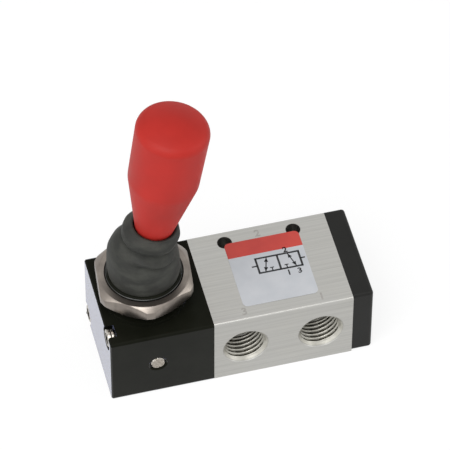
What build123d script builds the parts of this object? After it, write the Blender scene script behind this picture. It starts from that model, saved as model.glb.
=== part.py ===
from build123d import *
import math
import os

# Hand lever air valve, three ports and two positions, returned by a spring.
# The frame has +X from the lever end to the end cap, along the spool, +Y from
# the face with two ports to the face with one port, and +Z up the lever neck.
# The origin is the middle of the underside. All sizes are in millimetres.

# Blocks of the valve
valve_height = 25.4
valve_depth = 33.5
body_length = 41.55
cap_length = 6.25
cap_set_back = 0.5
cap_offset = 0.35
housing_edge_radius = 0.9
body_edge_radius = 0.8
cap_edge_radius = 1.0
end_edge_radius = 0.4

# Ports
port_pitch = 11.3
port_radius = 6.55
port_depth = 9.6
port_chamfer = 0.35
passage_radius = 2.8

# Mounting holes, through from top to bottom
mount_spacing = 20.7
mount_hole_radius = 2.2
mount_hole_from_back = 4.3

# Bore of the body and the stack of rings in it
bore_radius = 6.0
seal_width = 1.9
outer_seal_reach = 4.6
cage_inner_radius = 4.8
cage_flange_width = 1.2
cage_waist_radius = 5.35
window_length = 3.4
window_width = 2.8
window_count = 4
bush_flange_radius = 7.9
bush_flange_width = 2.0
wiper_radius = 5.4
wiper_width = 1.0
wiper_margin = 0.237
spring_spacer_width = 1.5

# Spool and what it carries
spool_radius = 3.9
spool_waist_radius = 2.6
waist_open_margin = 0.4
waist_closed_lap = 0.3
spool_edge = 0.3
nose_radius = 3.0
nose_neck = 1.0
nose_shank_radius = 1.5
nose_shank_length = 4.0
cup_radius = 5.2
cup_width = 0.9
cup_hub_radius = 3.0
spool_tail_radius = 2.0
spool_tail_length = 2.4

# Return spring
wire_radius = 0.35
coil_radius = 4.2
coil_count = 3

# End cap pocket and the face seals
cap_floor = 1.1
face_seal_radius = 9.5
face_seal_width = 1.2
face_groove_depth = 1.25
face_groove_width = 1.5

# Pivot, hub and cam
pivot_from_end = 14.0
pin_radius = 2.38
pin_recess = 0.15
pin_chamfer = 0.5
pin_hole_chamfer = 0.45
hub_radius = 5.4
hub_half_width = 5.9
hub_bush_radius = 3.4
cam_half_width = 4.0
cam_reach = 11.0
cam_rise_per_radian = 8.0
cam_lead_in = 9.0
cam_run_out = 8.0
lever_swing = 18.0
washer_radius = 4.6
washer_width = 1.0

# Lever stem, leaning towards the body at rest
lever_lean = 8.3
stem_offset = 2.78
stem_radius = 2.8
stem_start = 4.5
stem_tuck = 18.0
boss_radius = 4.3
boss_length = 11.0
stem_pin_radius = 0.8
stem_pin_height = 8.4

# Cavity of the lever housing
slot_radius = 9.4
slot_half_width = 7.0
slot_drop = 8.5
cam_chamber_radius = 8.0

# Neck, collar and panel nut
collar_radius = 12.5
collar_height = 1.5
neck_radius = 11.1
neck_height = 10.9
neck_chamfer = 0.55
nut_across_flats = 27.0
nut_corner_radius = 15.0
nut_thickness = 5.1
nut_turn = 24.4
nut_face_radius = 13.4
nut_chamfer_angle = 38.0
nut_bore_chamfer = 0.4
panel_gap = 3.45

# Rubber boot, each ring's height taken from the ring below it
boot_wall = 1.2
boot_foot_height = 2.4
boot_foot_width = 0.75
boot_foot_radius = 10.3
dome_radius = 10.85
dome_start = 3.6
dome_length = 3.6
shoulder_radius = 9.5
shoulder_length = 3.4
waist_radius = 8.0
waist_length = 1.9
bulge_radius = 8.3
bulge_length = 2.7
brow_radius = 8.25
brow_length = 2.2
lip_radius = 7.1
lip_length = 1.7
boot_fold_tilt = 9.0

# Grip on the lever, with the threaded insert moulded in it
grip_tuck = 1.6
grip_end_radius = 5.5
grip_taper_length = 20.9
grip_shoulder_radius = 10.23
grip_body_length = 20.85
grip_head_radius = 10.6
grip_dome = 3.0
grip_corner_radius = 3.0
grip_shoulder_blend = 8.0
grip_rim_radius = 0.5
insert_radius = 4.1
insert_length = 14.0

# Screws through the lever housing
screw_radius = 1.75
screw_head_radius = 2.7
screw_head_height = 2.1
screw_counterbore_radius = 3.5
screw_counterbore_depth = 2.6
screw_bite = 6.4
screw_socket = 2.8
screw_socket_depth = 1.1
upper_screw_from_front = 5.2
upper_screw_from_top = 2.75
lower_screw_from_back = 2.95
lower_screw_from_bottom = 3.1

# Screws through the end cap
cap_screw_radius = 1.5
cap_screw_head_radius = 2.7
cap_screw_bite = 5.4
cap_screw_socket = 2.0
cap_screw_from_side = 4.1
cap_screw_from_edge = 4.0

# Clearances
fixed_fit = 0.02
sliding_fit = 0.04
running_fit = 0.05
soft_gap = 0.25
screw_clearance = 0.2

# Places worked out from the sizes
spool_travel = cam_rise_per_radian * math.radians(lever_swing)
cam_room = cam_reach + nose_neck + spool_travel + wiper_margin + bush_flange_width
housing_length = pivot_from_end + cam_room
cap_depth = valve_depth - cap_set_back
overall_length = housing_length + body_length + cap_length
left_end = -overall_length / 2
housing_face = left_end + housing_length
cap_face = housing_face + body_length
right_end = cap_face + cap_length
front_face = -valve_depth / 2
back_face = valve_depth / 2
axis_height = valve_height / 2
body_middle = housing_face + body_length / 2
mount_hole_y = back_face - mount_hole_from_back
exhaust_x = body_middle - port_pitch
outlet_x = body_middle
supply_x = body_middle + port_pitch
pivot_x = left_end + pivot_from_end
nose_x = pivot_x + cam_reach
spool_start = nose_x + nose_neck
seal_positions = (
    exhaust_x - outer_seal_reach,
    (exhaust_x + outlet_x) / 2,
    (outlet_x + supply_x) / 2,
    supply_x + outer_seal_reach,
)
stack_start = seal_positions[0] - seal_width / 2
spacer_start = seal_positions[-1] + seal_width / 2
cup_start = spacer_start + spring_spacer_width
pocket_end = right_end - cap_floor
neck_top = valve_height + neck_height
nut_base = valve_height + collar_height + panel_gap
dome_end = dome_start + dome_length
shoulder_rise = dome_end + shoulder_length
waist_rise = shoulder_rise + waist_length
bulge_rise = waist_rise + bulge_length
brow_rise = bulge_rise + brow_length
lip_rise = brow_rise + lip_length
lip_height = neck_top + lip_rise
lean_radians = math.radians(lever_lean)
grip_start = (lip_height - axis_height) / math.cos(lean_radians) - grip_tuck
stem_end = grip_start + stem_tuck
upper_screw_yz = (front_face + upper_screw_from_front, valve_height - upper_screw_from_top)
lower_screw_yz = (back_face - lower_screw_from_back, lower_screw_from_bottom)


def spool_plane(x):
    """Plane square to the spool axis, facing the end cap."""
    return Plane(origin=(x, 0, axis_height), x_dir=(0, 1, 0), z_dir=(1, 0, 0))


def end_plane(x):
    """Plane square to X at the height of the underside."""
    return Plane(origin=(x, 0, 0), x_dir=(0, 1, 0), z_dir=(1, 0, 0))


def lever_frame():
    """Frame on the pivot with its Z axis along the leaning lever."""
    return Location((pivot_x, 0, axis_height), (0, lever_lean, 0))


def ring_on_axis(x_from, x_to, outer, inner):
    """Plain ring about the spool axis."""
    return extrude(spool_plane(x_from) * (Circle(outer) - Circle(inner)), x_to - x_from)


def rod_on_axis(x_from, x_to, radius):
    """Plain rod on the spool axis."""
    return extrude(spool_plane(x_from) * Circle(radius), x_to - x_from)


def rod_along_y(x, z, y_from, y_to, radius):
    """Plain rod along Y."""
    plane = Plane(origin=(x, y_from, z), x_dir=(1, 0, 0), z_dir=(0, 1, 0))
    return extrude(plane * Circle(radius), y_to - y_from)


def rod_along_z(x, y, z_from, z_to, radius):
    """Plain rod along Z."""
    return Pos(x, y, z_from) * extrude(Circle(radius), z_to - z_from)


def turned_on_axis(points):
    """Solid turned about the spool axis from (x, radius) points."""
    face = make_face(Polyline(*points, close=True))
    return Pos(0, 0, axis_height) * revolve(Plane.XZ * face, Axis.X)


def block(x_from, x_to, depth, y_middle=0.0):
    """Block of the valve's height between two planes square to X."""
    return Pos((x_from + x_to) / 2, y_middle, valve_height / 2) * Box(x_to - x_from, depth, valve_height)


def port_tool(x, side):
    """Port bore, its mouth chamfer and its passage, cut from the front (-1) or back (1)."""
    face = side * valve_depth / 2
    bottom = face - side * port_depth
    mouth = face - side * port_chamfer
    plane = Plane(origin=(x, mouth, axis_height), x_dir=(1, 0, 0), z_dir=(0, side, 0))
    flare = loft([
        plane * Circle(port_radius),
        plane.offset(port_chamfer) * Circle(port_radius + port_chamfer),
    ])
    bore = rod_along_y(x, axis_height, bottom, mouth, port_radius)
    passage = rod_along_y(x, axis_height, 0, bottom, passage_radius)
    return bore + flare + passage


def face_groove(x_from, x_to):
    """Ring cut for a face seal."""
    half = face_groove_width / 2
    return ring_on_axis(x_from, x_to, face_seal_radius + half, face_seal_radius - half)


def cap_screw_places():
    """Y and Z of the end cap's screws, on one diagonal."""
    across = cap_depth / 2 - cap_screw_from_side
    up = valve_height / 2 - cap_screw_from_edge
    return ((-across, axis_height + up), (across, axis_height - up))


def valve_body():
    """Aluminium bar with the spool bore, three ports and two mounting holes."""
    bar = block(housing_face, cap_face, valve_depth)
    bar = fillet(bar.edges().filter_by(Axis.X), body_edge_radius)
    bar -= rod_on_axis(housing_face, cap_face, bore_radius)
    bar -= port_tool(exhaust_x, -1)
    bar -= port_tool(supply_x, -1)
    bar -= port_tool(outlet_x, 1)
    for side in (-1, 1):
        x = body_middle + side * mount_spacing / 2
        bar -= rod_along_z(x, mount_hole_y, 0, valve_height, mount_hole_radius)
    bar -= face_groove(housing_face, housing_face + face_groove_depth)
    bar -= face_groove(cap_face - face_groove_depth, cap_face)
    for y, z in (upper_screw_yz, lower_screw_yz):
        plane = end_plane(housing_face)
        bar -= extrude(plane * Pos(y, z) * Circle(screw_radius + fixed_fit), screw_bite + screw_clearance)
    for y, z in cap_screw_places():
        plane = end_plane(cap_face)
        depth = cap_screw_bite + screw_clearance
        bar -= extrude(plane * Pos(y, z) * Circle(cap_screw_radius + fixed_fit), -depth)
    return bar


def face_seal(x_groove_bottom, side):
    """Square section ring lying in a face groove, a hair clear of both faces."""
    x_from = x_groove_bottom + side * fixed_fit
    x_to = x_groove_bottom + side * (face_groove_depth - fixed_fit)
    half = face_seal_width / 2
    return ring_on_axis(x_from, x_to, face_seal_radius + half, face_seal_radius - half)


def lever_cavity():
    """Slot for the swinging lever, open at the neck, and the chamber of the cam."""
    floor = axis_height - slot_drop
    round_part = rod_along_z(pivot_x, 0, floor, neck_top, slot_radius)
    slot = Pos(pivot_x, 0, floor) * Box(
        2 * slot_radius,
        2 * slot_half_width,
        valve_height - floor,
        align=(Align.CENTER, Align.CENTER, Align.MIN),
    )
    lower = round_part & slot
    upper = rod_along_z(pivot_x, 0, valve_height, neck_top, slot_radius)
    foot_seat = rod_along_z(
        pivot_x, 0, neck_top - boot_foot_height - fixed_fit, neck_top, slot_radius + boot_foot_width
    )
    chamber = rod_on_axis(pivot_x, housing_face, cam_chamber_radius)
    return lower + upper + foot_seat + chamber


def lever_housing():
    """Black housing with the threaded neck, the pin hole and the screw counterbores."""
    box = block(left_end, housing_face, valve_depth)
    box = fillet(box.edges().filter_by(Axis.X), housing_edge_radius)
    box = chamfer(box.faces().sort_by(Axis.X)[0].edges(), end_edge_radius)
    collar = rod_along_z(pivot_x, 0, valve_height, valve_height + collar_height, collar_radius)
    neck = rod_along_z(pivot_x, 0, valve_height, neck_top, neck_radius)
    neck = chamfer(neck.faces().sort_by(Axis.Z)[-1].edges(), neck_chamfer)
    box = box + collar + neck
    box -= lever_cavity()
    box -= rod_along_y(pivot_x, axis_height, front_face, back_face, pin_radius + fixed_fit)
    for side in (-1, 1):
        face = side * valve_depth / 2
        plane = Plane(
            origin=(pivot_x, face - side * pin_hole_chamfer, axis_height),
            x_dir=(1, 0, 0),
            z_dir=(0, side, 0),
        )
        box -= loft([
            plane * Circle(pin_radius + fixed_fit),
            plane.offset(pin_hole_chamfer) * Circle(pin_radius + fixed_fit + pin_hole_chamfer),
        ])
    for y, z in (upper_screw_yz, lower_screw_yz):
        plane = end_plane(left_end)
        box -= extrude(plane * Pos(y, z) * Circle(screw_counterbore_radius), screw_counterbore_depth)
        box -= extrude(plane * Pos(y, z) * Circle(screw_radius + screw_clearance), housing_length)
    return box


def housing_screws():
    """Two long cylinder head screws from the lever end into the body."""
    seat = left_end + screw_counterbore_depth
    tip = housing_face + screw_bite
    screws = Part()
    for y, z in (upper_screw_yz, lower_screw_yz):
        head = extrude(end_plane(seat) * Pos(y, z) * Circle(screw_head_radius), -screw_head_height)
        shank = extrude(end_plane(seat) * Pos(y, z) * Circle(screw_radius), tip - seat)
        hexagon = RegularPolygon(screw_socket / 2, 6, major_radius=False)
        socket = extrude(
            end_plane(seat - screw_head_height) * Pos(y, z) * hexagon, screw_socket_depth
        )
        screws += head + shank - socket
    return screws


def end_cap():
    """Black cap with the spring pocket and two countersunk screw holes."""
    cap = block(cap_face, right_end, cap_depth, cap_offset)
    long_edges = cap.edges().filter_by(Axis.X)
    end_edges = cap.faces().sort_by(Axis.X)[-1].edges()
    cap = fillet(long_edges + end_edges, cap_edge_radius)
    cap -= rod_on_axis(cap_face, pocket_end, bore_radius)
    for y, z in cap_screw_places():
        hole = extrude(
            end_plane(cap_face) * Pos(y, z) * Circle(cap_screw_radius + screw_clearance), cap_length
        )
        cap -= hole + cap_screw_cone(y, z, screw_clearance)
    return cap


def cap_screw_cone(y, z, extra):
    """Countersunk head at the right end, larger by extra for its seat."""
    depth = cap_screw_head_radius - cap_screw_radius
    return loft([
        end_plane(right_end - depth) * Pos(y, z) * Circle(cap_screw_radius + extra),
        end_plane(right_end) * Pos(y, z) * Circle(cap_screw_head_radius + extra),
    ])


def end_cap_screws():
    """Two countersunk screws through the end cap into the body."""
    tip = cap_face - cap_screw_bite
    screws = Part()
    for y, z in cap_screw_places():
        shank = extrude(end_plane(tip) * Pos(y, z) * Circle(cap_screw_radius), right_end - tip)
        hexagon = RegularPolygon(cap_screw_socket / 2, 6, major_radius=False)
        socket = extrude(end_plane(right_end) * Pos(y, z) * hexagon, -screw_socket_depth)
        screws += shank + cap_screw_cone(y, z, 0) - socket
    return screws


def pivot_pin():
    """Pin across the housing, just below flush, with bevelled ends."""
    length = valve_depth - 2 * pin_recess
    pin = rod_along_y(pivot_x, axis_height, -length / 2, length / 2, pin_radius)
    return chamfer(pin.edges().filter_by(GeomType.CIRCLE), pin_chamfer)


def thrust_washers():
    """Two thin washers on the pin, one each side of the hub."""
    inner = hub_half_width + running_fit
    washers = Part()
    for side in (-1, 1):
        near = side * inner
        far = side * (inner + washer_width)
        disc = rod_along_y(pivot_x, axis_height, near, far, washer_radius)
        washers += disc - rod_along_y(pivot_x, axis_height, near, far, pin_radius + fixed_fit)
    return washers


def cam_point(turn):
    """Point of the cam face that meets the follower when the lever has turned so far, in radians."""
    reach = cam_reach + cam_rise_per_radian * turn
    along = (math.cos(turn), -math.sin(turn))
    slope = cam_rise_per_radian
    tangent = (slope * along[0] + reach * along[1], slope * along[1] - reach * along[0])
    size = math.hypot(*tangent)
    outward = (-tangent[1] / size, tangent[0] / size)
    inset = nose_radius + sliding_fit
    return (reach * along[0] - outward[0] * inset, reach * along[1] - outward[1] * inset)


def cam_hub():
    """Hub on the pin with the spiral cam that pushes the spool and the boss of the stem."""
    first = -math.radians(cam_lead_in)
    last = math.radians(lever_swing + cam_run_out)
    steps = 8
    face_points = [cam_point(first + (last - first) * step / steps) for step in range(steps + 1)]
    outline = Spline(*face_points)
    sides = Polyline(face_points[-1], (0, -hub_radius), (0, hub_radius), face_points[0])
    lobe_face = make_face(outline + sides)
    lobe_plane = Plane(origin=(pivot_x, cam_half_width, axis_height), x_dir=(1, 0, 0), z_dir=(0, -1, 0))
    lobe = extrude(lobe_plane * lobe_face, 2 * cam_half_width)
    hub = rod_along_y(pivot_x, axis_height, -hub_half_width, hub_half_width, hub_radius)
    boss = lever_frame() * rod_along_z(-stem_offset, 0, 0, boss_length, boss_radius)
    solid = hub + lobe + boss
    solid -= rod_along_y(
        pivot_x, axis_height, -hub_half_width, hub_half_width, hub_bush_radius + fixed_fit
    )
    stem_hole = rod_along_z(-stem_offset, 0, stem_start - fixed_fit, boss_length, stem_radius + fixed_fit)
    solid -= lever_frame() * stem_hole
    solid -= lever_frame() * rod_along_y(
        -stem_offset, stem_pin_height, -boss_radius, boss_radius, stem_pin_radius + fixed_fit
    )
    return solid


def hub_bush():
    """Bronze bush pressed in the hub, running on the pin."""
    outer = rod_along_y(pivot_x, axis_height, -hub_half_width, hub_half_width, hub_bush_radius)
    inner_radius = pin_radius + running_fit
    return outer - rod_along_y(pivot_x, axis_height, -hub_half_width, hub_half_width, inner_radius)


def lever_stem():
    """Steel rod from the hub up into the grip."""
    rod = rod_along_z(-stem_offset, 0, stem_start, stem_end, stem_radius)
    rod = chamfer(rod.edges().filter_by(GeomType.CIRCLE), spool_edge)
    rod -= rod_along_y(
        -stem_offset, stem_pin_height, -stem_radius, stem_radius, stem_pin_radius + fixed_fit
    )
    return lever_frame() * rod


def stem_pin():
    """Cross pin that locks the stem in its boss."""
    half = math.sqrt(boss_radius ** 2 - stem_pin_radius ** 2)
    return lever_frame() * rod_along_y(-stem_offset, stem_pin_height, -half, half, stem_pin_radius)


def grip_profile():
    """Half outline of the grip, with its shoulder and lower rim rounded."""
    shoulder = grip_start + grip_taper_length
    head = shoulder + grip_body_length
    top = head + grip_dome
    side = Polyline(
        (0, grip_start),
        (grip_end_radius, grip_start),
        (grip_shoulder_radius, shoulder),
        (grip_head_radius, head),
    )
    dome = Bezier((grip_head_radius, head), (grip_head_radius / 2, top), (0, top))
    axis = Line((0, top), (0, grip_start))
    face = make_face(side + dome + axis)
    corner = face.vertices().sort_by_distance((grip_shoulder_radius, shoulder))[0]
    face = fillet(corner, grip_shoulder_blend)
    rim = face.vertices().sort_by_distance((grip_end_radius, grip_start))[0]
    return fillet(rim, grip_rim_radius)


def grip():
    """Red grip with a low dome, and the hole for its insert and the tip of the stem."""
    solid = revolve(Plane.XZ * grip_profile(), Axis.Z)
    dome_edge = solid.edges().filter_by(GeomType.CIRCLE).sort_by(SortBy.RADIUS)[-1]
    solid = fillet(dome_edge, grip_corner_radius)
    solid -= rod_along_z(0, 0, grip_start, grip_start + insert_length + fixed_fit, insert_radius + fixed_fit)
    solid -= rod_along_z(0, 0, grip_start, stem_end + soft_gap, stem_radius + fixed_fit)
    return lever_frame() * Pos(-stem_offset, 0, 0) * solid


def grip_insert():
    """Brass insert moulded in the grip, screwed on the stem."""
    sleeve = rod_along_z(-stem_offset, 0, grip_start, grip_start + insert_length, insert_radius)
    sleeve -= rod_along_z(
        -stem_offset, 0, grip_start, grip_start + insert_length, stem_radius + fixed_fit
    )
    return lever_frame() * sleeve


def boot_plane(rise):
    """Plane of the boot's ring at a height above the neck.

    The boot bends over towards the lever, and its folds tilt further than the
    lever does, because the side that it leans to is pressed together.
    """
    share = rise / lip_rise
    lever_x = pivot_x - stem_offset / math.cos(lean_radians)
    lever_x += (lip_height - axis_height) * math.tan(lean_radians)
    tilt = lever_lean * share + boot_fold_tilt * math.sin(math.pi * share)
    x = pivot_x + (lever_x - pivot_x) * share ** 3
    return Plane(Location((x, 0, neck_top + rise), (0, tilt, 0)))


def boot_skin(inset):
    """Closed form of the boot with a crease at its waist, smaller and lower by inset."""
    dome = (
        (0, boot_foot_radius),
        (dome_start, dome_radius),
        (dome_end, dome_radius),
        (shoulder_rise, shoulder_radius),
        (waist_rise, waist_radius),
    )
    fold = (
        (waist_rise, waist_radius),
        (bulge_rise, bulge_radius),
        (brow_rise - inset, brow_radius),
        (lip_rise - inset, lip_radius),
    )
    halves = [
        loft([boot_plane(rise) * Circle(radius - inset) for rise, radius in rings])
        for rings in (dome, fold)
    ]
    return halves[0] + halves[1]


def rubber_boot():
    """Rubber boot from the neck to the grip, open for the stem, with its foot in the neck."""
    skin = boot_skin(0) - boot_skin(boot_wall)
    foot_outer = slot_radius + boot_foot_width - fixed_fit
    foot = rod_along_z(pivot_x, 0, neck_top - boot_foot_height, neck_top + boot_wall, foot_outer)
    foot -= rod_along_z(
        pivot_x, 0, neck_top - boot_foot_height, neck_top + boot_wall, slot_radius + fixed_fit
    )
    boot = skin + foot
    stem_way = rod_along_z(-stem_offset, 0, 0, stem_end, stem_radius + soft_gap)
    boot -= lever_frame() * stem_way
    taper = (grip_shoulder_radius - grip_end_radius) / grip_taper_length
    low_radius = grip_end_radius + soft_gap
    grip_way = loft([
        Pos(-stem_offset, 0, grip_start - soft_gap) * Circle(low_radius),
        Pos(-stem_offset, 0, grip_start + grip_taper_length) * Circle(
            low_radius + taper * grip_taper_length
        ),
    ])
    return boot - lever_frame() * grip_way


def panel_nut():
    """Thin hexagon nut on the neck, with turned corners and both faces chamfered."""
    hexagon = RegularPolygon(nut_across_flats / 2, 6, major_radius=False)
    body = Rot(0, 0, nut_turn) * extrude(hexagon, nut_thickness)
    drop = (nut_corner_radius - nut_face_radius) * math.tan(math.radians(nut_chamfer_angle))
    turned = make_face(Polyline(
        (0, 0),
        (nut_face_radius, 0),
        (nut_corner_radius, drop),
        (nut_corner_radius, nut_thickness - drop),
        (nut_face_radius, nut_thickness),
        (0, nut_thickness),
        close=True,
    ))
    body = body & revolve(Plane.XZ * turned, Axis.Z)
    body -= rod_along_z(0, 0, 0, nut_thickness, neck_radius + fixed_fit)
    bore_rim = body.edges().filter_by(GeomType.CIRCLE).sort_by(SortBy.RADIUS)[:2]
    body = chamfer(bore_rim, nut_bore_chamfer)
    return Pos(pivot_x, 0, nut_base) * body


def guide_bush():
    """Flanged brass bush that guides the spool where it leaves the body."""
    flange_start = housing_face - bush_flange_width
    bush = rod_on_axis(housing_face, stack_start, bore_radius - fixed_fit)
    bush += rod_on_axis(flange_start, housing_face, bush_flange_radius)
    bush -= rod_on_axis(flange_start, stack_start, spool_radius + sliding_fit)
    bush -= rod_on_axis(flange_start, flange_start + wiper_width, wiper_radius)
    return bush


def wiper_seal():
    """Rubber wiper in the bush's outer face."""
    start = housing_face - bush_flange_width
    return ring_on_axis(start, start + wiper_width, wiper_radius - fixed_fit, spool_radius + sliding_fit)


def bore_seal(x):
    """Square section ring seal in the body's bore, round the spool."""
    half = seal_width / 2
    ring = ring_on_axis(x - half, x + half, bore_radius - fixed_fit, spool_radius + sliding_fit)
    return ring


def port_cage(x_from, x_to, x_port):
    """Spacer ring between two seals, waisted outside and with windows at its port."""
    cage = turned_on_axis((
        (x_from, cage_inner_radius),
        (x_from, bore_radius - fixed_fit),
        (x_from + cage_flange_width, bore_radius - fixed_fit),
        (x_from + cage_flange_width, cage_waist_radius),
        (x_to - cage_flange_width, cage_waist_radius),
        (x_to - cage_flange_width, bore_radius - fixed_fit),
        (x_to, bore_radius - fixed_fit),
        (x_to, cage_inner_radius),
    ))
    window = Pos(x_port, 0, axis_height + bore_radius / 2) * Box(window_length, window_width, bore_radius)
    axis = Axis((x_port, 0, axis_height), (1, 0, 0))
    for step in range(window_count):
        cage -= window.rotate(axis, (step + 0.5) * 360 / window_count)
    return cage


def spring_spacer():
    """Ring behind the last seal, on which the spring cup rests."""
    return ring_on_axis(spacer_start, cup_start, bore_radius - fixed_fit, spool_radius + sliding_fit)


def spool():
    """Spool with one waist that joins the outlet to the exhaust at rest."""
    tail_start = cup_start
    tail_end = cup_start + cup_width + spool_tail_length
    waist_from = seal_positions[1] - seal_width / 2 - waist_open_margin
    waist_to = seal_positions[2] - seal_width / 2 - waist_closed_lap
    solid = turned_on_axis((
        (spool_start, 0),
        (spool_start, spool_radius - spool_edge),
        (spool_start + spool_edge, spool_radius),
        (waist_from - spool_edge, spool_radius),
        (waist_from, spool_waist_radius),
        (waist_to, spool_waist_radius),
        (waist_to + spool_edge, spool_radius),
        (tail_start, spool_radius),
        (tail_start, spool_tail_radius),
        (tail_end - spool_edge, spool_tail_radius),
        (tail_end, spool_tail_radius - spool_edge),
        (tail_end, 0),
    ))
    solid -= rod_on_axis(spool_start, spool_start + nose_shank_length, nose_shank_radius + fixed_fit)
    return solid


def cam_follower():
    """Hardened nose with a round end, pressed in the spool, which runs on the cam."""
    ball = Pos(nose_x, 0, axis_height) * Sphere(nose_radius)
    ball -= rod_on_axis(nose_x, nose_x + nose_radius, 2 * nose_radius)
    neck = rod_on_axis(nose_x, spool_start, nose_radius)
    shank = rod_on_axis(spool_start, spool_start + nose_shank_length - fixed_fit, nose_shank_radius)
    return ball + neck + shank


def spring_cup():
    """Cup on the spool's tail that takes the spring and stops on the spacer."""
    cup = rod_on_axis(cup_start, cup_start + cup_width, cup_radius)
    cup += rod_on_axis(cup_start + cup_width, cup_start + 2 * cup_width, cup_hub_radius)
    return cup - rod_on_axis(cup_start, cup_start + 2 * cup_width, spool_tail_radius + fixed_fit)


def return_spring():
    """Coil spring between the cup and the bottom of the end cap's pocket."""
    start = cup_start + cup_width + wire_radius + fixed_fit
    end = pocket_end - wire_radius - fixed_fit
    height = end - start
    path = Helix(pitch=height / coil_count, height=height, radius=coil_radius)
    section = Plane(origin=path @ 0, z_dir=path % 0) * Circle(wire_radius)
    coil = sweep(section, path=path)
    return spool_plane(start).location * coil


def valve_parts():
    """Every node of the valve by name."""
    half = seal_width / 2
    parts = {
        "valve_body": valve_body(),
        "lever_housing": lever_housing(),
        "end_cap": end_cap(),
        "housing_screws": housing_screws(),
        "end_cap_screws": end_cap_screws(),
        "housing_face_seal": face_seal(housing_face + face_groove_depth, -1),
        "cap_face_seal": face_seal(cap_face - face_groove_depth, 1),
        "pivot_pin": pivot_pin(),
        "thrust_washers": thrust_washers(),
        "panel_nut": panel_nut(),
        "rubber_boot": rubber_boot(),
        "guide_bush": guide_bush(),
        "wiper_seal": wiper_seal(),
        "spring_spacer": spring_spacer(),
        "cam_hub": cam_hub(),
        "hub_bush": hub_bush(),
        "lever_stem": lever_stem(),
        "stem_pin": stem_pin(),
        "grip": grip(),
        "grip_insert": grip_insert(),
        "spool": spool(),
        "cam_follower": cam_follower(),
        "spring_cup": spring_cup(),
        "return_spring": return_spring(),
    }
    for number, x in enumerate(seal_positions, start=1):
        parts[f"bore_seal_{number}"] = bore_seal(x)
    names = ("exhaust_cage", "outlet_cage", "supply_cage")
    ports = (exhaust_x, outlet_x, supply_x)
    for name, x_port, before, after in zip(names, ports, seal_positions, seal_positions[1:]):
        parts[name] = port_cage(before + half, after - half, x_port)
    return parts


os.makedirs("parts", exist_ok=True)
for node, shape in valve_parts().items():
    export_step(shape, f"parts/{node}.step")
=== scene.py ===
import math

import bpy
from mathutils import Matrix, Vector, noise


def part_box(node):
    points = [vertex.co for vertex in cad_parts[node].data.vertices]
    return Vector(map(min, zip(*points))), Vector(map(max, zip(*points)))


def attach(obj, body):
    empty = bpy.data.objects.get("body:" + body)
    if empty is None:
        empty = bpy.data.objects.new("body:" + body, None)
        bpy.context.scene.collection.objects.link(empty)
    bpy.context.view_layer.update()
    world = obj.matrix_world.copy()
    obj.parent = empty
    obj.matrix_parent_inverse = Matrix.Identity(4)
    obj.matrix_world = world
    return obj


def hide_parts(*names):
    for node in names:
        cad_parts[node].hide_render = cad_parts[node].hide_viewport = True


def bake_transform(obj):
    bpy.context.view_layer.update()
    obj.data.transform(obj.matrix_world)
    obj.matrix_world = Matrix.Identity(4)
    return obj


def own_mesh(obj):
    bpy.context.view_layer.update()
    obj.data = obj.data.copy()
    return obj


# Hand lever air valve: finishes, boot, nut, threads, screws, pin, spring, label,
# lights and camera.
# Everything is in metres, in the frame of the solids: +X along the spool towards
# the end cap, +Y towards the face with one port, +Z up. The origin is the middle
# of the underside.

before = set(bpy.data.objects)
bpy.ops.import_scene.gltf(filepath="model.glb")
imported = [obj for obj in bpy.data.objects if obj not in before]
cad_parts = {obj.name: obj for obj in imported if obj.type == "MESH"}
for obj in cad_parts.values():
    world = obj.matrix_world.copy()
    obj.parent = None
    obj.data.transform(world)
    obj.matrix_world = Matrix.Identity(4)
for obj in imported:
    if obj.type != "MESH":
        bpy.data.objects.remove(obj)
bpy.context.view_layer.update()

MM = 0.001

# Places read from the solids

body_low, body_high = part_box("valve_body")
housing_low, housing_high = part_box("lever_housing")
nut_low, nut_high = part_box("panel_nut")
pin_low, pin_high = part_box("pivot_pin")

top_z = body_high.z
front_y = body_low.y
back_y = body_high.y
port_z = top_z / 2
body_middle_x = (body_low.x + body_high.x) / 2
pivot = (pin_low + pin_high) / 2
neck_x = pivot.x
neck_top_z = housing_high.z
nut_base_z = nut_low.z
nut_top_z = nut_high.z

# Ports and their threads

PORT_PITCH = 11.3 * MM
PORT_RADIUS = 6.55 * MM
PORT_DEPTH = 9.6 * MM
PORT_MOUTH_RADIUS = 6.9 * MM
MOUTH_BEVEL = 1.0 * MM
MOUTH_STEP = 0.12 * MM
THREAD_PITCH = 25.4 / 18 * MM
THREAD_START = 0.25 * MM
THREAD_END_GAP = 0.6 * MM
THREAD_FADE = 0.8 * THREAD_PITCH
THREAD_DEPTH = 0.75 * MM
THREAD_SKIN = 0.03 * MM
THREAD_ROOT = 0.12 * MM
RIDGE_LEVEL = 1.06
RIDGE_SLOPE = 2.2
# Thread faces whose ridge height is below this share get painted shade
GROOVE_SHADE_SHARE = 0.22

# Thread of the neck, below the nut and above it

NECK_THREAD_RADIUS = 11.1 * MM
NECK_THREAD_PITCH = 25.4 / 14 * MM
NECK_THREAD_SKIN = 0.015 * MM
NECK_THREAD_SUNK = 0.1 * MM
NECK_LOW_START = 27.0 * MM
NECK_LOW_OVERLAP = 0.2 * MM
NECK_LOW_HEIGHT = 0.3 * MM
NECK_TOP_OVERLAP = 0.3 * MM
NECK_TOP_RISE = 0.45 * MM
NECK_TOP_HEIGHT = 0.22 * MM

# Label, its symbol and the stamped numbers

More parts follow.
